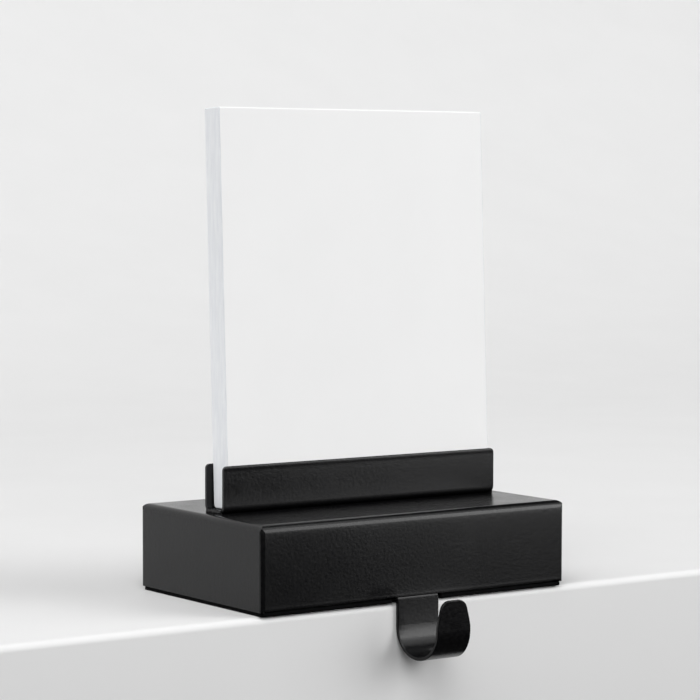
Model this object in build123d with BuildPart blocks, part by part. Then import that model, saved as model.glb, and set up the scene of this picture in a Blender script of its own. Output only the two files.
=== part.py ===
"""Mantel stocking holder: weighted steel base with a front hook and an upright blank sign board.

Frame: millimetres, +Z up, front towards -Y, origin at the centre of the pad's underside.
"""
import os
from math import cos, radians, sin, sqrt

from build123d import *

os.makedirs("parts", exist_ok=True)

# Base shell
BASE_WIDTH = 128.6
BASE_DEPTH = 76.9
SHELL_HEIGHT = 28.3
SHELL_SHEET = 1.2
TOP_BEND_IN_R = 1.3
UPRIGHT_CORNER_IN_R = 0.3
END_FOOT_DROP = 0.75
END_FOOT_R = 0.7

# Closing plate and hook
PLATE_SHEET = 1.2
PLATE_SET_IN = 3.0
PLATE_CORNER_R = 0.2
HOOK_WIDTH = 17.6
HOOK_LIP_WIDTH = 13.8
HOOK_TIP_WIDTH = 9.3
HOOK_BEND_IN_R = 0.3
HOOK_SET_IN = 0.0
HOOK_GAP = 19.1
HOOK_DROP = 18.45
HOOK_LIP_RISE = 21.3
HOOK_TIP_SHARE = 0.4
HOOK_EDGE_R = 0.3
LIP_SIDES_FLARE = 0.7
LIP_SIDES_BOW = 0.15
TONGUE_LAP = 1.0

# Foam pad
PAD_THICK = 1.0
PAD_SET_IN = 0.9
PAD_END_SET_IN = 0.7
PAD_CORNER_R = 3.0
PAD_NOTCH_CLEAR = 1.5

# Ballast block
BALLAST_CLEAR = 10.0
BALLAST_HEADROOM = 7.1
BALLAST_CORNER_R = 5.0
BALLAST_RIM_R = 1.5

# Sign channel
CHANNEL_PAST_BOARD = 1.85
CHANNEL_HEIGHT = 16.3
CHANNEL_SHEET = 1.0
CHANNEL_BEND_IN_R = 1.6
CHANNEL_SET_BACK = 32.65
CHANNEL_CORNER_R = 1.6
CHANNEL_RIM_R = 0.45

# Sign board
BOARD_WIDTH = 112.5
BOARD_HEIGHT = 136.8
BOARD_THICK = 9.2
BOARD_LEAN = radians(2.4)
BOARD_SHIFT = 0.6
BOARD_EDGE_R = 0.5
BOARD_FOOT_R = 1.6
BOARD_REST_CLEAR = 0.03

# Nearness used to pick edges and vertices
NEAR = 0.01

# Levels
PLATE_FOOT_Z = PAD_THICK
PLATE_TOP_Z = PLATE_FOOT_Z + PLATE_SHEET
SHELL_TOP_Z = PLATE_TOP_Z + SHELL_HEIGHT
SHELL_FRONT_Y = -BASE_DEPTH / 2
END_FOOT_Z = PLATE_TOP_Z - END_FOOT_DROP
END_HEIGHT = SHELL_HEIGHT + END_FOOT_DROP

# Outside radii of the bends
TOP_BEND_R = TOP_BEND_IN_R + SHELL_SHEET
UPRIGHT_CORNER_R = UPRIGHT_CORNER_IN_R + SHELL_SHEET
HOOK_BEND_R = HOOK_BEND_IN_R + PLATE_SHEET
CHANNEL_BEND_R = CHANNEL_BEND_IN_R + CHANNEL_SHEET

# Hook layout: the plate's top face runs over the bend and becomes the face inside the J
LEG_FRONT_Y = SHELL_FRONT_Y + HOOK_SET_IN
LEG_BACK_Y = LEG_FRONT_Y + PLATE_SHEET
BEND_LINE_Y = LEG_FRONT_Y + HOOK_BEND_R
TONGUE_ROOT_Y = SHELL_FRONT_Y + PLATE_SET_IN + TONGUE_LAP
BEND_CENTRE_Z = PLATE_TOP_Z - HOOK_BEND_R
CURL_IN_R = HOOK_GAP / 2
CURL_OUT_R = CURL_IN_R + PLATE_SHEET
CURL_Y = LEG_FRONT_Y - CURL_IN_R
CURL_Z = -HOOK_DROP + CURL_OUT_R
LIP_BACK_Y = LEG_FRONT_Y - HOOK_GAP
LIP_FRONT_Y = LIP_BACK_Y - PLATE_SHEET
TIP_Z = -HOOK_DROP + HOOK_LIP_RISE
TIP_CORNER_R = HOOK_TIP_SHARE * HOOK_TIP_WIDTH
LIP_SIDE_X = (HOOK_LIP_WIDTH + LIP_SIDES_FLARE) / 2
LIP_BOW_X = (LIP_SIDE_X + HOOK_TIP_WIDTH / 2) / 2 + LIP_SIDES_BOW
LIP_BOW_Z = (CURL_Z + TIP_Z) / 2
LIP_CUT_DEPTH = 3 * PLATE_SHEET
COS45 = sqrt(0.5)

# Channel and board layout: the board's heel is against the front flange and its back on the rear one
CHANNEL_LENGTH = BOARD_WIDTH + 2 * CHANNEL_PAST_BOARD
CHANNEL_FRONT_Y = SHELL_FRONT_Y + CHANNEL_SET_BACK
CHANNEL_TOP_Z = SHELL_TOP_Z + CHANNEL_HEIGHT
SLOT_FRONT_Y = CHANNEL_FRONT_Y + CHANNEL_SHEET
SLOT_FLOOR_Z = SHELL_TOP_Z + CHANNEL_SHEET
BOARD_FOOT_Y = SLOT_FRONT_Y + BOARD_REST_CLEAR + cos(BOARD_LEAN) * BOARD_THICK / 2
BOARD_FOOT_Z = SLOT_FLOOR_Z + BOARD_REST_CLEAR + sin(BOARD_LEAN) * BOARD_THICK / 2
REAR_EDGE_RUN = (CHANNEL_TOP_Z - BOARD_FOOT_Z + sin(BOARD_LEAN) * BOARD_THICK / 2) / cos(BOARD_LEAN)
SLOT_BACK_Y = (BOARD_FOOT_Y + cos(BOARD_LEAN) * BOARD_THICK / 2 + sin(BOARD_LEAN) * REAR_EDGE_RUN
               + BOARD_REST_CLEAR)
CHANNEL_BACK_Y = SLOT_BACK_Y + CHANNEL_SHEET

# Hollow inside the shell, and the plate let in between the shell's ends
HOLLOW_HEIGHT = END_HEIGHT - SHELL_SHEET
HOLLOW_WIDTH = BASE_WIDTH - 2 * SHELL_SHEET
HOLLOW_DEPTH = BASE_DEPTH - 2 * SHELL_SHEET
PLATE_WIDTH = HOLLOW_WIDTH
PLATE_DEPTH = BASE_DEPTH - 2 * PLATE_SET_IN
BALLAST_WIDTH = HOLLOW_WIDTH - 2 * BALLAST_CLEAR
BALLAST_DEPTH = HOLLOW_DEPTH - 2 * BALLAST_CLEAR
BALLAST_HEIGHT = SHELL_HEIGHT - SHELL_SHEET - BALLAST_HEADROOM

with BuildPart() as shell_hollow:
    with BuildSketch(Plane.XY.offset(END_FOOT_Z)):
        RectangleRounded(HOLLOW_WIDTH, HOLLOW_DEPTH, UPRIGHT_CORNER_IN_R)
    extrude(amount=HOLLOW_HEIGHT)
    with BuildSketch(Plane.XZ) as hollow_front:
        with Locations((0, END_FOOT_Z + HOLLOW_HEIGHT / 2)):
            Rectangle(HOLLOW_WIDTH, HOLLOW_HEIGHT)
        fillet(hollow_front.vertices().group_by(Axis.Y)[-1], TOP_BEND_IN_R)
    extrude(amount=BASE_DEPTH, both=True, mode=Mode.INTERSECT)
    with BuildSketch(Plane.YZ) as hollow_side:
        with Locations((0, END_FOOT_Z + HOLLOW_HEIGHT / 2)):
            Rectangle(HOLLOW_DEPTH, HOLLOW_HEIGHT)
        fillet(hollow_side.vertices().group_by(Axis.Y)[-1], TOP_BEND_IN_R)
    extrude(amount=BASE_WIDTH, both=True, mode=Mode.INTERSECT)

# The shell: a folded cover, its outside where the front, side and plan outlines agree
with BuildPart() as base_shell:
    with BuildSketch(Plane.XY.offset(END_FOOT_Z)):
        RectangleRounded(BASE_WIDTH, BASE_DEPTH, UPRIGHT_CORNER_R)
    extrude(amount=END_HEIGHT)
    with BuildSketch(Plane.XZ) as shell_front:
        with Locations((0, END_FOOT_Z + END_HEIGHT / 2)):
            Rectangle(BASE_WIDTH, END_HEIGHT)
        fillet(shell_front.vertices().group_by(Axis.Y)[-1], TOP_BEND_R)
    extrude(amount=BASE_DEPTH, both=True, mode=Mode.INTERSECT)
    with BuildSketch(Plane.YZ) as shell_side:
        with Locations((0, END_FOOT_Z + END_HEIGHT / 2)):
            Rectangle(BASE_DEPTH, END_HEIGHT)
        fillet(shell_side.vertices().group_by(Axis.Y)[-1], TOP_BEND_R)
        fillet(shell_side.vertices().group_by(Axis.Y)[0], END_FOOT_R)
    extrude(amount=BASE_WIDTH, both=True, mode=Mode.INTERSECT)
    add(shell_hollow.part, mode=Mode.SUBTRACT)
    # Front and back walls stop at the plate; the ends reach down past its edge
    with BuildSketch(Plane.XY.offset(END_FOOT_Z)):
        Rectangle(HOLLOW_WIDTH, BASE_DEPTH)
    extrude(amount=END_FOOT_DROP, mode=Mode.SUBTRACT)
base_shell.part.label = "base_shell"
export_step(base_shell.part, "parts/base_shell.step")

# The hook tongue: one strip bent down, curled forward and up
with BuildPart() as hook_tongue:
    with BuildSketch(Plane.YZ):
        with BuildLine():
            Line((TONGUE_ROOT_Y, PLATE_TOP_Z), (BEND_LINE_Y, PLATE_TOP_Z))
            ThreePointArc(
                (BEND_LINE_Y, PLATE_TOP_Z),
                (BEND_LINE_Y - HOOK_BEND_R * COS45, BEND_CENTRE_Z + HOOK_BEND_R * COS45),
                (LEG_FRONT_Y, BEND_CENTRE_Z))
            Line((LEG_FRONT_Y, BEND_CENTRE_Z), (LEG_FRONT_Y, CURL_Z))
            ThreePointArc((LEG_FRONT_Y, CURL_Z), (CURL_Y, CURL_Z - CURL_IN_R), (LIP_BACK_Y, CURL_Z))
            Line((LIP_BACK_Y, CURL_Z), (LIP_BACK_Y, TIP_Z))
            Line((LIP_BACK_Y, TIP_Z), (LIP_FRONT_Y, TIP_Z))
            Line((LIP_FRONT_Y, TIP_Z), (LIP_FRONT_Y, CURL_Z))
            ThreePointArc((LIP_FRONT_Y, CURL_Z), (CURL_Y, CURL_Z - CURL_OUT_R), (LEG_BACK_Y, CURL_Z))
            Line((LEG_BACK_Y, CURL_Z), (LEG_BACK_Y, BEND_CENTRE_Z))
            ThreePointArc(
                (LEG_BACK_Y, BEND_CENTRE_Z),
                (BEND_LINE_Y - HOOK_BEND_IN_R * COS45, BEND_CENTRE_Z + HOOK_BEND_IN_R * COS45),
                (BEND_LINE_Y, PLATE_FOOT_Z))
            Line((BEND_LINE_Y, PLATE_FOOT_Z), (TONGUE_ROOT_Y, PLATE_FOOT_Z))
            Line((TONGUE_ROOT_Y, PLATE_FOOT_Z), (TONGUE_ROOT_Y, PLATE_TOP_Z))
        make_face()
    extrude(amount=HOOK_WIDTH / 2, both=True)
    # Plan taper from the bend to the lip
    with BuildSketch(Plane.XY):
        with BuildLine():
            Polyline(
                (-HOOK_WIDTH / 2, TONGUE_ROOT_Y), (HOOK_WIDTH / 2, TONGUE_ROOT_Y),
                (HOOK_WIDTH / 2, BEND_LINE_Y), (HOOK_LIP_WIDTH / 2, LIP_FRONT_Y),
                (-HOOK_LIP_WIDTH / 2, LIP_FRONT_Y), (-HOOK_WIDTH / 2, BEND_LINE_Y), close=True)
        make_face()
    extrude(amount=HOOK_DROP + HOOK_LIP_RISE, both=True, mode=Mode.INTERSECT)
    # Front outline of the lip: bowed sides drawn in towards the tip, both tip corners rounded
    with BuildSketch(Plane.XZ.offset(-LIP_BACK_Y - PLATE_SHEET)) as lip_outline:
        with BuildLine():
            Line((-HOOK_TIP_WIDTH / 2, TIP_Z), (HOOK_TIP_WIDTH / 2, TIP_Z))
            ThreePointArc((HOOK_TIP_WIDTH / 2, TIP_Z), (LIP_BOW_X, LIP_BOW_Z), (LIP_SIDE_X, CURL_Z))
            Polyline(
                (LIP_SIDE_X, CURL_Z), (HOOK_WIDTH, CURL_Z), (HOOK_WIDTH, TIP_Z + PLATE_SHEET),
                (-HOOK_WIDTH, TIP_Z + PLATE_SHEET), (-HOOK_WIDTH, CURL_Z), (-LIP_SIDE_X, CURL_Z))
            ThreePointArc((-LIP_SIDE_X, CURL_Z), (-LIP_BOW_X, LIP_BOW_Z), (-HOOK_TIP_WIDTH / 2, TIP_Z))
        make_face()
        fillet(
            lip_outline.vertices().filter_by(
                lambda v: abs(v.Y - TIP_Z) < NEAR and abs(v.X) < HOOK_WIDTH / 2),
            TIP_CORNER_R)
    extrude(amount=LIP_CUT_DEPTH, mode=Mode.SUBTRACT)
    # Deburred edges from the bend to the tip
    fillet(
        hook_tongue.edges().filter_by(lambda e: e.center().Y < BEND_LINE_Y - NEAR),
        HOOK_EDGE_R)

# The closing plate, whose front edge is set in far enough for the tongue to bend clear of it
with BuildPart() as hook_plate:
    with BuildSketch(Plane.XY.offset(PLATE_FOOT_Z)):
        RectangleRounded(PLATE_WIDTH, PLATE_DEPTH, PLATE_CORNER_R)
    extrude(amount=PLATE_SHEET)
    add(hook_tongue.part)
hook_plate.part.label = "hook_plate"
export_step(hook_plate.part, "parts/hook_plate.step")

# The weight bedded on the plate
with BuildPart() as ballast_block:
    with BuildSketch(Plane.XY.offset(PLATE_TOP_Z)):
        RectangleRounded(BALLAST_WIDTH, BALLAST_DEPTH, BALLAST_CORNER_R)
    extrude(amount=BALLAST_HEIGHT)
    fillet(ballast_block.faces().sort_by(Axis.Z)[-1].edges(), BALLAST_RIM_R)
ballast_block.part.label = "ballast_block"
export_step(ballast_block.part, "parts/ballast_block.step")

# The pad glued under the plate, notched to clear the hook's bend
PAD_NOTCH_WIDTH = HOOK_WIDTH + 2 * PAD_NOTCH_CLEAR
PAD_NOTCH_DEPTH = 2 * (HOOK_BEND_R + PAD_NOTCH_CLEAR)
with BuildPart() as foam_pad:
    with BuildSketch(Plane.XY):
        RectangleRounded(BASE_WIDTH - 2 * PAD_END_SET_IN, BASE_DEPTH - 2 * PAD_SET_IN, PAD_CORNER_R)
        with Locations((0, BEND_LINE_Y - HOOK_BEND_R)):
            Rectangle(PAD_NOTCH_WIDTH, PAD_NOTCH_DEPTH, mode=Mode.SUBTRACT)
    extrude(amount=PAD_THICK)
foam_pad.part.label = "foam_pad"
export_step(foam_pad.part, "parts/foam_pad.step")

# The folded channel on top of the shell
with BuildPart() as sign_channel:
    with BuildSketch(Plane.YZ) as channel_profile:
        with BuildLine():
            Polyline(
                (CHANNEL_FRONT_Y, CHANNEL_TOP_Z), (CHANNEL_FRONT_Y, SHELL_TOP_Z),
                (CHANNEL_BACK_Y, SHELL_TOP_Z), (CHANNEL_BACK_Y, CHANNEL_TOP_Z),
                (SLOT_BACK_Y, CHANNEL_TOP_Z), (SLOT_BACK_Y, SLOT_FLOOR_Z),
                (SLOT_FRONT_Y, SLOT_FLOOR_Z), (SLOT_FRONT_Y, CHANNEL_TOP_Z), close=True)
        make_face()
        fillet(channel_profile.vertices().group_by(Axis.Y)[0], CHANNEL_BEND_R)
        fillet(
            channel_profile.vertices().filter_by(lambda v: abs(v.Y - SLOT_FLOOR_Z) < NEAR),
            CHANNEL_BEND_IN_R)
        fillet(channel_profile.vertices().group_by(Axis.Y)[-1], CHANNEL_RIM_R)
    extrude(amount=CHANNEL_LENGTH / 2, both=True)
    # Front outline: both top corners of the flanges rounded
    with BuildSketch(Plane.XZ) as channel_outline:
        with Locations((0, SHELL_TOP_Z + CHANNEL_HEIGHT / 2)):
            Rectangle(CHANNEL_LENGTH, CHANNEL_HEIGHT)
        fillet(channel_outline.vertices().group_by(Axis.Y)[-1], CHANNEL_CORNER_R)
    extrude(amount=BASE_DEPTH, both=True, mode=Mode.INTERSECT)
sign_channel.part.label = "sign_channel"
export_step(sign_channel.part, "parts/sign_channel.step")

# The blank board leaning in the channel
BOARD_PLANE = Plane(
    origin=(BOARD_SHIFT, BOARD_FOOT_Y, BOARD_FOOT_Z), x_dir=(1, 0, 0),
    z_dir=(0, sin(BOARD_LEAN), cos(BOARD_LEAN)))
with BuildPart() as sign_board:
    with BuildSketch(BOARD_PLANE):
        Rectangle(BOARD_WIDTH, BOARD_THICK)
    extrude(amount=BOARD_HEIGHT)
    fillet(sign_board.faces().sort_by(Axis.Z)[0].edges().filter_by(Axis.X), BOARD_FOOT_R)
    # Eased edges round both ends and along the top
    fillet(
        sign_board.edges().filter_by(
            lambda e: abs(e.center().X - BOARD_SHIFT) > BOARD_WIDTH / 2 - NEAR
            or e.center().Z > BOARD_FOOT_Z + BOARD_HEIGHT / 2),
        BOARD_EDGE_R)
sign_board.part.label = "sign_board"
export_step(sign_board.part, "parts/sign_board.step")
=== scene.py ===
"""Looks for the mantel stocking holder: powder coat, white lacquered board, foam pad and weld beads.

Metres, +Z up, front towards -Y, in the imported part's own frame.
"""
import math

import bpy
import numpy as np
from mathutils import Matrix, Vector


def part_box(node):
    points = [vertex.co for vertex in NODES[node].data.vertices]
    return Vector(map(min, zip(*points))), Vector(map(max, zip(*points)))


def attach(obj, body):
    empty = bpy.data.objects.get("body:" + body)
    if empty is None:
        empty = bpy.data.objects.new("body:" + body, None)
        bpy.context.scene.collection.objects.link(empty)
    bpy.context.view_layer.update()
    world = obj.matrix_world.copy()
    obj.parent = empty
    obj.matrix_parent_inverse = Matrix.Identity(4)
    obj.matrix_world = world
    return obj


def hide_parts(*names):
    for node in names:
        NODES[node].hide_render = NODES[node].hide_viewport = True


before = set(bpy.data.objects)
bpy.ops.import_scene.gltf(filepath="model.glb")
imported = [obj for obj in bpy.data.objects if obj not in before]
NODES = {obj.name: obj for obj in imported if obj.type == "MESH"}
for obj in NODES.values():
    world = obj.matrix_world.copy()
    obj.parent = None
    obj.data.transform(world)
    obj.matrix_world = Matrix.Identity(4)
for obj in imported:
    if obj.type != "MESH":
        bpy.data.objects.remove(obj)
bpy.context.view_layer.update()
MM = 0.001


# Helpers

def linear(hex_colour):
    """Linear RGBA of an sRGB hex colour: each channel goes through the sRGB curve."""
    srgb = np.array([int(hex_colour[i:i + 2], 16) for i in (1, 3, 5)]) / 255
    lin = np.where(srgb <= 0.04045, srgb / 12.92, ((srgb + 0.055) / 1.055) ** 2.4)
    return (*lin.tolist(), 1.0)


def add(tree, kind, links=None, stops=(), **settings):
    """Add one node. Settings are its properties and stops its ramp's places and colours. Links feed its
    sockets from another socket, from a plain value, or from a formula (operation, value, value), which
    becomes Math nodes of its own."""
    node = tree.nodes.new(kind)
    for key, value in settings.items():
        setattr(node, key, value)
    for index, (position, hex_colour) in enumerate(stops):
        node.color_ramp.elements[index].position = position
        node.color_ramp.elements[index].color = linear(hex_colour)
    for socket, source in (links or {}).items():
        if isinstance(source, tuple) and isinstance(source[0], str):
            values = dict(enumerate(source[1:]))
            source = add(tree, "ShaderNodeMath", values, operation=source[0]).outputs["Value"]
        if isinstance(source, bpy.types.NodeSocket):
            tree.links.new(source, node.inputs[socket])
        else:
            node.inputs[socket].default_value = source
    return node


def surface(name, points, wrap_v=False, caps=False):
    """Mesh object from a grid of points (rows u, columns v): quads between neighbours. Wrapping joins the
    last column to the first, and caps close the first and the last row."""
    rows, columns = points.shape[:2]
    u, v = np.meshgrid(np.arange(rows - 1), np.arange(columns if wrap_v else columns - 1), indexing="ij")
    next_v = (v + 1) % columns
    corners = [u * columns + v, (u + 1) * columns + v, (u + 1) * columns + next_v, u * columns + next_v]
    quads = np.stack(corners, -1).reshape(-1, 4).tolist()
    count = rows * columns
    ends = [np.arange(columns).tolist(), np.arange(count - 1, count - columns - 1, -1).tolist()]
    mesh = bpy.data.meshes.new(name)
    mesh.from_pydata(points.reshape(-1, 3).tolist(), [], quads + (ends if caps else []))
    mesh.update()
    mesh.shade_smooth()
    piece = bpy.data.objects.new(name, mesh)
    bpy.context.scene.collection.objects.link(piece)
    return piece


def finish_with(piece, material):
    """Put one material in a piece's only slot."""
    piece.data.materials.clear()
    piece.data.materials.append(material)


def blank_material(name):
    """New material, its emptied node tree and the Object coordinates that its patterns read."""
    material = bpy.data.materials.new(name)
    material.use_nodes = True
    tree = material.node_tree
    tree.nodes.clear()
    return material, tree, add(tree, "ShaderNodeTexCoord").outputs["Object"]


# Small forms of the coated sheets, as formulas of distances and heights in metres

def ridge(distance, centre, width, height):
    """A rounded ridge: a bell curve of the distance about a centre."""
    off = ("DIVIDE", ("SUBTRACT", distance, centre), width)
    return ("MULTIPLY", ("EXPONENT", ("MULTIPLY", ("MULTIPLY", off, off), -1.0)), height)


def fading(distance, reach, height):
    """A form that dies away: its height times e to the power of minus distance over reach."""
    return ("MULTIPLY", ("EXPONENT", ("DIVIDE", distance, -reach)), height)


def share(value, start, stop):
    """How far a value has come from start to stop, held between 0 and 1."""
    return ("MINIMUM", ("MAXIMUM", ("DIVIDE", ("SUBTRACT", value, start), stop - start), 0.0), 1.0)


def sheet_forms(tree, place):
    """What folding and coating leave on the sheets, each under a millimetre: a sum of ridges, fades and
    shares of the distance from a foot, a rim, a fold or a bend."""
    shell_low, shell_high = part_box("base_shell")
    _, lip_front, curl_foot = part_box("hook_plate")[0]
    shell_front, shell_top = shell_low[1], shell_high[2]
    end_drop, end_skin = 0.75 * MM, 0.8 * MM
    # The front's foot stands on the plate, so it is also the level of the plate's top
    front_foot = shell_low[2] + end_drop
    x, y, z = add(tree, "ShaderNodeSeparateXYZ", {"Vector": place}).outputs
    off_middle = ("ABSOLUTE", x)
    on_end = ("GREATER_THAN", off_middle, shell_high[0] - end_skin)
    above_foot = ("ADD", ("SUBTRACT", z, front_foot), ("MULTIPLY", on_end, end_drop))
    below_rim = ("SUBTRACT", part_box("sign_channel")[1][2], z)
    below_fold = ("SUBTRACT", shell_top, z)

    # Powder gathers along the shell's feet and the channel's rims, where the flanges also lean in
    foot_bead = ridge(above_foot, centre=0.45 * MM, width=0.45 * MM, height=0.02 * MM)
    rim_bead = ridge(below_rim, centre=0.75 * MM, width=0.7 * MM, height=0.07 * MM)
    lean = fading(below_rim, reach=7 * MM, height=-0.22 * MM)

    # The shell's fold ends softly, and its walls bow in below it, draw in to their feet, crown and wave
    bend_end, draw, crown_rise = 1.9 * MM, -0.5 * MM, 0.45 * MM
    soft_end = fading(("MAXIMUM", ("SUBTRACT", below_fold, bend_end), 0.0), reach=0.8 * MM, height=-0.11 * MM)
    bow = fading(("ABSOLUTE", below_fold), reach=6 * MM, height=-0.34 * MM)
    draw_in = ("MULTIPLY", share(below_fold, start=0.0, stop=shell_top - front_foot), draw)
    crown = ("MULTIPLY", ("COSINE", ("MULTIPLY", x, math.pi / (shell_high[0] - shell_low[0]))), crown_rise)
    wave_length, wave_rise = 45 * MM, 0.2 * MM
    waviness = add(tree, "ShaderNodeTexNoise", {"Vector": place, "Scale": 1 / wave_length, "Detail": 1.0})
    wave = ("MULTIPLY", waviness.outputs["Fac"], wave_rise)

    # The hook's tongue presses the front's foot out a little
    over_hook = add(tree, "ShaderNodeMapRange", {
        "Value": off_middle, "From Min": 8 * MM, "From Max": 32 * MM, "To Min": 1.0, "To Max": 0.0},
        interpolation_type="SMOOTHSTEP").outputs["Result"]
    press = fading(("MAXIMUM", above_foot, 0.0), reach=3 * MM, height=0.18 * MM)
    bulge = ("MULTIPLY", over_hook, press)

    # The tongue is creased at its bend, its leg eases into the curl, and its lip flares
    curl_centre, lip_root, bend_radius = curl_foot + 10.74 * MM, curl_foot + 6.94 * MM, 1.5 * MM
    ease_run, ease_runs, ease_depth = 5 * MM, 2.0, -0.3 * MM
    flare_slope, crease_depth = 0.06, 0.75 * MM
    on_tongue = share(off_middle, start=12 * MM, stop=9.5 * MM)
    on_leg = share(y, start=shell_front - 8.55 * MM, stop=shell_front - 3.55 * MM)
    on_lip = share(y, start=lip_front + 2.25 * MM, stop=lip_front + 0.55 * MM)
    up_bend = share(z, start=front_foot - bend_radius, stop=front_foot)
    fold_in = ("MULTIPLY", ("SUBTRACT", ("POWER", up_bend, 2.0), 1.0), crease_depth)
    crease = ("MULTIPLY", ("MULTIPLY", on_tongue, on_leg), fold_in)
    up_leg = ("MINIMUM", ("DIVIDE", ("SUBTRACT", z, curl_centre), ease_run), ease_runs)
    easing = ("MULTIPLY", on_leg, ("MULTIPLY", ("TANH", up_leg), ease_depth))
    flare = ("MULTIPLY", on_lip, ("MULTIPLY", ("SUBTRACT", z, lip_root), flare_slope))

    height = foot_bead
    for form in (rim_bead, lean, soft_end, bow, draw_in, crown, wave, bulge, crease, easing, flare):
        height = ("ADD", height, form)
    return height


# Finishes

def black_powder_coat():
    """Semi-matt black polyester powder baked on folded steel: near-black with a soft gloss and faint orange
    peel, over the sheets' own small forms; the peel's crests carry a painted sheen, a lighter tone than its
    hollows."""
    material, tree, place = blank_material("black_powder_coat")
    # Real grit is about 0.1 mm, too fine to show: it is drawn at 0.35 mm
    peel_size, grit_size, drift_size = 1.1 * MM, 0.35 * MM, 14 * MM
    peel_depth, grit_depth = 0.038 * MM, 0.014 * MM
    peel = add(tree, "ShaderNodeTexNoise", {"Vector": place, "Scale": 1 / peel_size, "Detail": 2.0})
    grit = add(tree, "ShaderNodeTexNoise", {"Vector": place, "Scale": 1 / grit_size, "Detail": 3.0})
    drift = add(tree, "ShaderNodeTexNoise", {"Vector": place, "Scale": 1 / drift_size, "Detail": 2.0})
    # The tone rises with the peel's height: painted sheen on its crests, over the coat's near-black
    tint = add(tree, "ShaderNodeValToRGB", {"Fac": peel.outputs["Fac"]}, ((0.3, "#020203"), (0.75, "#121213")))
    gloss = add(tree, "ShaderNodeMapRange", {
        "Value": drift.outputs["Fac"], "From Min": 0.3, "From Max": 0.7, "To Min": 0.2, "To Max": 0.26})
    sheet = add(tree, "ShaderNodeBump", {
        "Height": sheet_forms(tree, place), "Strength": 1.0, "Distance": 1.0})
    waves = add(tree, "ShaderNodeBump", {
        "Height": peel.outputs["Fac"], "Normal": sheet.outputs["Normal"], "Strength": 1.0,
        "Distance": peel_depth})
    pores = add(tree, "ShaderNodeBump", {
        "Height": grit.outputs["Fac"], "Normal": waves.outputs["Normal"], "Strength": 1.0,
        "Distance": grit_depth})
    shader = add(tree, "ShaderNodeBsdfPrincipled", {
        "Base Color": tint.outputs["Color"], "Roughness": gloss.outputs["Result"],
        "Normal": pores.outputs["Normal"], "IOR": 1.37})
    add(tree, "ShaderNodeOutputMaterial", {"Surface": shader.outputs["BSDF"]})
    return material


def white_board_lacquer():
    """White satin lacquer rolled on fibreboard: near-white, with a fine roller stipple and almost no gloss;
    the sealed ends show short upright streaks under a painted cool shade, a touch darker and cooler than the
    face."""
    material, tree, place = blank_material("white_board_lacquer")
    low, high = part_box("sign_board")
    middle, half, end_skin = (low[0] + high[0]) / 2, (high[0] - low[0]) / 2, 0.4 * MM
    # Real fibres are about 0.1 mm wide, too fine to show: the streaks are drawn 1.3 mm wide
    stipple_size, stipple_depth, drift_size, streak_size = 0.9 * MM, 0.03 * MM, 30 * MM, 1.3 * MM
    stipple = add(tree, "ShaderNodeTexNoise", {"Vector": place, "Scale": 1 / stipple_size, "Detail": 3.0})
    drift = add(tree, "ShaderNodeTexNoise", {"Vector": place, "Scale": 1 / drift_size, "Detail": 3.0})
    face = add(tree, "ShaderNodeValToRGB", {"Fac": drift.outputs["Fac"]}, ((0.3, "#f2f2f2"), (0.7, "#f4f4f4")))
    upright = add(tree, "ShaderNodeMapping", {"Vector": place, "Scale": (1, 1, 0.15)})
    streaks = add(tree, "ShaderNodeTexNoise", {
        "Vector": upright.outputs["Vector"], "Scale": 1 / streak_size, "Detail": 3.0})
    # The ends' darker, cooler tones are painted cool shade; the streaks in them are the sealed fibre's own
    end = add(tree, "ShaderNodeValToRGB", {"Fac": streaks.outputs["Fac"]}, ((0.3, "#e3e5e9"), (0.7, "#eceef0")))
    x = add(tree, "ShaderNodeSeparateXYZ", {"Vector": place}).outputs["X"]
    on_end = ("GREATER_THAN", ("ABSOLUTE", ("SUBTRACT", x, middle)), half - end_skin)
    # Sockets 6 and 7 are the colours that the node mixes, and output 2 is the mixed colour
    colour = add(tree, "ShaderNodeMix", {
        "Factor": on_end, 6: face.outputs["Color"], 7: end.outputs["Color"]}, data_type="RGBA")
    gloss = add(tree, "ShaderNodeMapRange", {
        "Value": stipple.outputs["Fac"], "From Min": 0.3, "From Max": 0.7, "To Min": 0.5, "To Max": 0.62})
    rolled = add(tree, "ShaderNodeBump", {
        "Height": stipple.outputs["Fac"], "Strength": 0.12, "Distance": stipple_depth})
    shader = add(tree, "ShaderNodeBsdfPrincipled", {
        "Base Color": colour.outputs[2], "Roughness": gloss.outputs["Result"],
        "Normal": rolled.outputs["Normal"]})
    add(tree, "ShaderNodeOutputMaterial", {"Surface": shader.outputs["BSDF"]})
    return material


def black_foam():
    """Black closed-cell foam sheet: dull, with small cells cut open on every face and painted shade in their
    dents.
    """
    material, tree, place = blank_material("black_closed_cell_foam")
    # Real cells are about 0.2 mm, too fine to show: they are drawn at 0.5 mm
    cell_size, cell_depth = 0.5 * MM, 0.15 * MM
    cells = add(tree, "ShaderNodeTexVoronoi", {"Vector": place, "Scale": 1 / cell_size})
    # The tint darkens where the cells dent deepest: painted shade in the dents
    tint = add(tree, "ShaderNodeValToRGB", {"Fac": cells.outputs["Distance"]}, (
        (0.0, "#0e0e0f"), (1.0, "#050505")))
    dents = add(tree, "ShaderNodeBump", {
        "Height": cells.outputs["Distance"], "Strength": 0.6, "Distance": cell_depth}, invert=True)
    shader = add(tree, "ShaderNodeBsdfPrincipled", {
        "Base Color": tint.outputs["Color"], "Roughness": 0.9, "Normal": dents.outputs["Normal"], "IOR": 1.15})
    add(tree, "ShaderNodeOutputMaterial", {"Surface": shader.outputs["BSDF"]})
    return material


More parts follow.
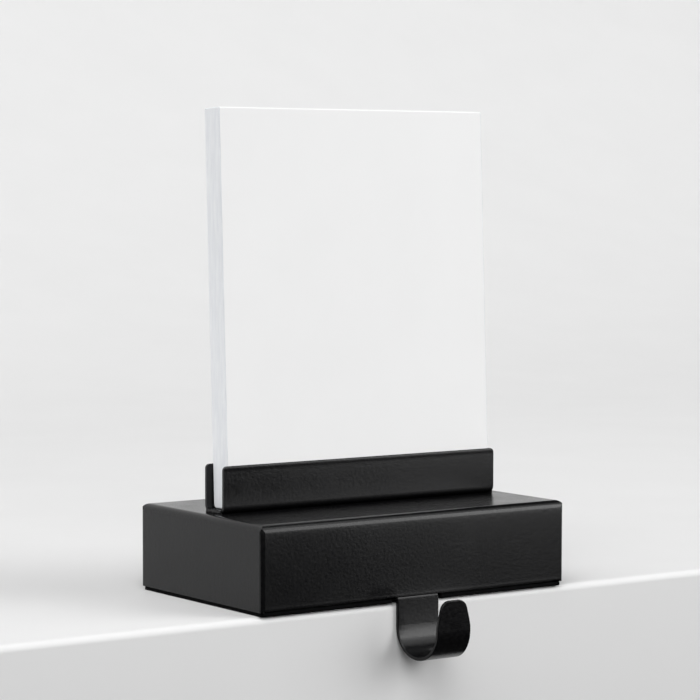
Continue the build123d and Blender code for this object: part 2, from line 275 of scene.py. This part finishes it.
def raw_cast_iron():
    """Sand-cast iron left raw: dark grey, dull, pitted by the sand."""
    material, tree, place = blank_material("raw_sand_cast_iron")
    pit_size, pit_depth = 0.8 * MM, 0.2 * MM
    sand = add(tree, "ShaderNodeTexNoise", {"Vector": place, "Scale": 1 / pit_size, "Detail": 5.0})
    tint = add(tree, "ShaderNodeValToRGB", {"Fac": sand.outputs["Fac"]}, ((0.0, "#3a3938"), (1.0, "#6b6967")))
    pits = add(tree, "ShaderNodeBump", {
        "Height": sand.outputs["Fac"], "Strength": 0.7, "Distance": pit_depth})
    shader = add(tree, "ShaderNodeBsdfPrincipled", {
        "Base Color": tint.outputs["Color"], "Metallic": 0.8, "Roughness": 0.65,
        "Normal": pits.outputs["Normal"]})
    add(tree, "ShaderNodeOutputMaterial", {"Surface": shader.outputs["BSDF"]})
    return material


COAT = black_powder_coat()
LACQUER = white_board_lacquer()
FOAM = black_foam()
IRON = raw_cast_iron()
for node, finish in (("base_shell", COAT), ("hook_plate", COAT), ("sign_channel", COAT),
                     ("sign_board", LACQUER), ("ballast_block", IRON)):
    finish_with(NODES[node], finish)


# Foam pad

def foam_sheet():
    """Die-cut foam: a rounded outline with a notch at the front, each corner an arc about its own centre;
    the outline is moved out along its normals and up by a profile whose edge swells round the plate."""
    low, high = (np.array(c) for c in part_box("foam_pad"))
    half_x, half_y = (high - low)[:2] / 2
    thick = high[2] - low[2]
    corner, nick, notch_half, notch_deep = 0.9 * MM, 0.5 * MM, 10.3 * MM, 2.1 * MM
    arc_points = 7
    far_x, far_y, mouth_y = half_x - corner, half_y - corner, nick - half_y
    inner_y = notch_deep - nick - half_y
    # Columns: centre x, centre y, radius, start and end angle in degrees, side of the arc
    arcs = np.array([
        (notch_half - nick, inner_y, nick, 0, 90, -1), (nick - notch_half, inner_y, nick, 90, 180, -1),
        (-notch_half - nick, mouth_y, nick, 360, 270, 1), (-far_x, -far_y, corner, 270, 180, 1),
        (-far_x, far_y, corner, 180, 90, 1), (far_x, far_y, corner, 90, 0, 1),
        (far_x, -far_y, corner, 360, 270, 1), (notch_half + nick, mouth_y, nick, 270, 180, 1)])
    turn = np.radians(np.linspace(arcs[:, 3], arcs[:, 4], arc_points, axis=1))
    spoke = np.stack([np.cos(turn), np.sin(turn)], -1)
    outline = (arcs[:, None, :2] + arcs[:, None, 2:3] * spoke).reshape(-1, 2)
    outward = (arcs[:, None, 5:] * spoke).reshape(-1, 2)
    # Columns: millimetres out of the outline, share of the thickness
    rings = np.array([
        (-0.4, 0.0), (-0.12, 0.0), (0.0, 0.14), (0.08, 0.6),
        (0.0, 1.2), (-0.12, 1.38), (-0.36, 1.38), (-0.44, 1.0)])
    plan = outline[None] + outward[None] * rings[:, :1, None] * MM
    rise = np.broadcast_to((low[2] + thick * rings[:, 1])[:, None, None], (*plan.shape[:2], 1))
    return surface("foam_sheet", np.concatenate([plan, rise], -1), wrap_v=True, caps=True)


pad = foam_sheet()
finish_with(pad, FOAM)
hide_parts("foam_pad")
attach(pad, "root")


# Welds at the channel's ends

def weld_bead(name, side):
    """Short fillet weld across one end of the channel: a round bead along Y whose radius swells with two
    runs of ripples and tapers at both ends."""
    low, high = (np.array(c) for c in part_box("sign_channel"))
    inset, proud, lift, thickness = 1.5 * MM, 0.15 * MM, 0.25 * MM, 1.05 * MM
    short_ripple, long_ripple, short_swell, long_swell = 1.5 * MM, 3.7 * MM, 0.14, 0.1
    bluntness, thinnest, steps, sides = 6, 0.03, 61, 20
    along = np.linspace(0.0, 1.0, steps)[:, None]
    around = np.linspace(0, 2 * math.pi, sides, endpoint=False)[None]
    run = along * (high[1] - low[1] - 2 * inset)
    swell = (1 + short_swell * np.sin(2 * math.pi * run / short_ripple)
             + long_swell * np.sin(2 * math.pi * run / long_ripple + 1))
    radius = thickness * swell * np.sqrt(np.clip(1 - (2 * along - 1) ** bluntness, thinnest, 1))
    end = (low[0] if side < 0 else high[0]) + side * proud
    points = np.stack([
        end + side * radius * np.cos(around), low[1] + inset + run + 0 * around,
        low[2] + lift + radius * np.sin(around)], -1)
    return surface(name, points if side > 0 else points[:, ::-1], wrap_v=True, caps=True)


for name, side in (("left_weld", -1), ("right_weld", 1)):
    bead = weld_bead(name, side)
    finish_with(bead, COAT)
    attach(bead, "root")


# Stage

def stage_floor():
    """Pale floor with a dropped front: a profile up the drop, over a rounded edge, back, and up a sweep,
    carried along X."""
    front, back, drop, top = -37.2 * MM, 1.9, 60 * MM, 2.6
    edge, sweep, reach, arc_points = 2.5 * MM, 1.3, 1.9, 12
    turn = np.linspace(0, math.pi / 2, arc_points)
    chin = np.stack([front + edge - edge * np.sin(turn), edge - edge * np.cos(turn) - drop], -1)
    nose = np.stack([front + edge - edge * np.cos(turn), edge * np.sin(turn) - edge], -1)
    cove = np.stack([back - sweep + sweep * np.sin(turn), sweep - sweep * np.cos(turn)], -1)
    profile = np.concatenate([[[back, -drop]], chin, nose, cove, [[back, top]]])
    across = np.repeat([[[-reach]], [[reach]]], len(profile), axis=1)
    return surface("pale_floor", np.concatenate([across, np.stack([profile, profile])], -1))


def matt_white_paint():
    """Matt white emulsion on the stage: near-white with a faint drift."""
    material, tree, place = blank_material("matt_white_paint")
    drift_size = 60 * MM
    drift = add(tree, "ShaderNodeTexNoise", {"Vector": place, "Scale": 1 / drift_size, "Detail": 3.0})
    tint = add(tree, "ShaderNodeValToRGB", {"Fac": drift.outputs["Fac"]}, ((0.0, "#dfdfdf"), (1.0, "#e3e3e3")))
    shader = add(tree, "ShaderNodeBsdfPrincipled", {"Base Color": tint.outputs["Color"], "Roughness": 0.8})
    add(tree, "ShaderNodeOutputMaterial", {"Surface": shader.outputs["BSDF"]})
    return material


floor = stage_floor()
finish_with(floor, matt_white_paint())


# Camera

def photo_camera():
    """Camera at the photograph's place: its angles, place and lens are fitted to the object's edges."""
    azimuth, pitch, roll = math.radians(35.246), math.radians(3.548), math.radians(0.109)
    place, lens, sensor = (-0.5481, -0.7732, 0.1429), 138.744, 36.0
    ahead = np.array([
        math.sin(azimuth) * math.cos(pitch), math.cos(azimuth) * math.cos(pitch), -math.sin(pitch)])
    level = np.array([math.cos(azimuth), -math.sin(azimuth), 0.0])
    upright = np.cross(level, ahead)
    right = math.cos(roll) * level + math.sin(roll) * upright
    up = math.cos(roll) * upright - math.sin(roll) * level
    data = bpy.data.cameras.new("photo_camera")
    data.lens, data.sensor_width = lens, sensor
    camera = bpy.data.objects.new("photo_camera", data)
    turned = np.eye(4)
    turned[:3] = np.stack([right, up, -ahead, place], -1)
    camera.matrix_world = Matrix(turned.tolist())
    bpy.context.scene.collection.objects.link(camera)
    bpy.context.scene.camera = camera


photo_camera()


# Light

LIGHT_DISTANCE = 4.5
# Columns: name, azimuth off the front towards +X and elevation in degrees, width and height in metres, watts
LIGHTS = (
    ("key_left_low", 38, 7, 1.59, 1.1, 16.7),
    ("key_left", 38, 24, 1.59, 1.75, 38.0),
    ("key_left_high", 38, 46, 1.59, 2.1, 14.0),
    ("key_right_low", 58, 7, 1.59, 1.1, 21.7),
    ("key_right", 58, 24, 1.59, 1.75, 46.0),
    ("key_right_high", 58, 46, 1.59, 2.1, 12.0),
    ("low_front", 38.5, -5, 0.45, 0.79, 1.95),
    ("low_right", 58, -4, 1.59, 0.79, 4.0),
    ("left_fill", -45, 52, 2.92, 2.92, 96.0),
    ("left_side", -85, 25, 2.24, 2.24, 26.7),
    ("front_fill", -25, 25, 1.91, 1.91, 20.0),
)


def softbox(name, azimuth, elevation, width, height, watts):
    """Area light that faces the object from an azimuth and an elevation, hidden from the camera."""
    turn, rise = math.radians(azimuth), math.radians(elevation)
    away = Vector((math.sin(turn) * math.cos(rise), -math.cos(turn) * math.cos(rise), math.sin(rise)))
    data = bpy.data.lights.new(name, "AREA")
    data.shape, data.size, data.size_y, data.energy = "RECTANGLE", width, height, watts
    lamp = bpy.data.objects.new(name, data)
    lamp.location = away * LIGHT_DISTANCE
    lamp.rotation_mode = "QUATERNION"
    lamp.rotation_quaternion = (-away).to_track_quat("-Z", "Y")
    lamp.visible_camera = False
    bpy.context.scene.collection.objects.link(lamp)


def studio_air(left, right, dusk):
    """World light above the horizon that fades along X from the left strength to the right strength, over an
    even dusk."""
    world = bpy.data.worlds.new("studio_air")
    world.use_nodes = True
    tree = world.node_tree
    tree.nodes.clear()
    way = add(tree, "ShaderNodeTexCoord").outputs["Generated"]
    axes = add(tree, "ShaderNodeSeparateXYZ", {"Vector": way})
    fade = add(tree, "ShaderNodeMapRange", {
        "Value": axes.outputs["X"], "From Min": -1.0, "From Max": 0.5, "To Min": left, "To Max": right})
    rise = add(tree, "ShaderNodeMapRange", {"Value": axes.outputs["Z"], "From Min": 0.0, "From Max": 0.5})
    glow = ("MULTIPLY", fade.outputs["Result"], rise.outputs["Result"])
    air = add(tree, "ShaderNodeBackground", {"Strength": ("ADD", glow, dusk)})
    add(tree, "ShaderNodeOutputWorld", {"Surface": air.outputs["Background"]})
    bpy.context.scene.world = world


for row in LIGHTS:
    softbox(*row)
studio_air(left=1.19, right=0.0, dusk=0.045)
bpy.context.scene.view_settings.view_transform = "Standard"
